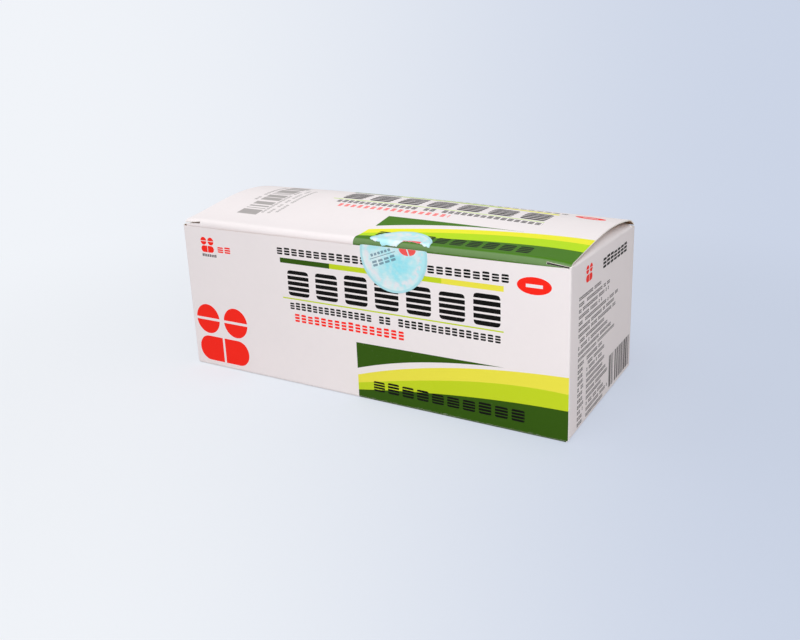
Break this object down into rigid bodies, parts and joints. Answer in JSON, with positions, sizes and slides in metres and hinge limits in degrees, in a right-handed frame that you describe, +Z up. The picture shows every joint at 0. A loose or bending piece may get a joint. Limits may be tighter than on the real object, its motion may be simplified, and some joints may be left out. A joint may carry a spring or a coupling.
{
  "type": "box of tablets",
  "caption": "Low oblong folding carton with a bowed tuck-in lid and a torn round seal, holding small capped bottles and folded leaflets.",
  "frame": {"origin": "middle of the underside, on the surface that the carton stands on", "axes": "+X along the carton's length, +Y from the front panel to the back panel with the lid's fold, +Z up"},
  "size_m": [0.162, 0.0701, 0.0669],
  "materials": {
    "carton_board": "white coated board, satin varnish",
    "seal_film": "mottled pale blue film, soft gloss",
    "bottle_plastic": "white moulded plastic, satin",
    "cap_plastic": "white moulded plastic, matt",
    "leaflet_paper": "thin uncoated paper"
  },
  "bodies": {
    "carton": {"carton": "carton_board", "seal_lower": "seal_film", "bottle_01": "bottle_plastic", "bottle_02": "bottle_plastic", "bottle_03": "bottle_plastic", "bottle_04": "bottle_plastic", "bottle_05": "bottle_plastic", "bottle_06": "bottle_plastic", "bottle_07": "bottle_plastic", "bottle_08": "bottle_plastic", "bottle_09": "bottle_plastic", "bottle_10": "bottle_plastic", "cap_01": "cap_plastic", "cap_02": "cap_plastic", "cap_03": "cap_plastic", "cap_04": "cap_plastic", "cap_05": "cap_plastic", "cap_06": "cap_plastic", "cap_07": "cap_plastic", "cap_08": "cap_plastic", "cap_09": "cap_plastic", "cap_10": "cap_plastic", "leaflet_01": "leaflet_paper", "leaflet_02": "leaflet_paper", "leaflet_03": "leaflet_paper", "leaflet_04": "leaflet_paper", "leaflet_05": "leaflet_paper", "leaflet_06": "leaflet_paper", "leaflet_07": "leaflet_paper", "leaflet_08": "leaflet_paper", "leaflet_09": "leaflet_paper", "leaflet_10": "leaflet_paper"},
    "lid": {"lid": "carton_board", "seal_upper": "seal_film"}
  },
  "joints": [
    {"name": "lid_hinge", "type": "hinge", "parent": "carton", "child": "lid", "pos_m": [0, 0.03476, 0.058], "axis": [-1, 0, 0], "range_deg": [0, 180]}
  ]
}
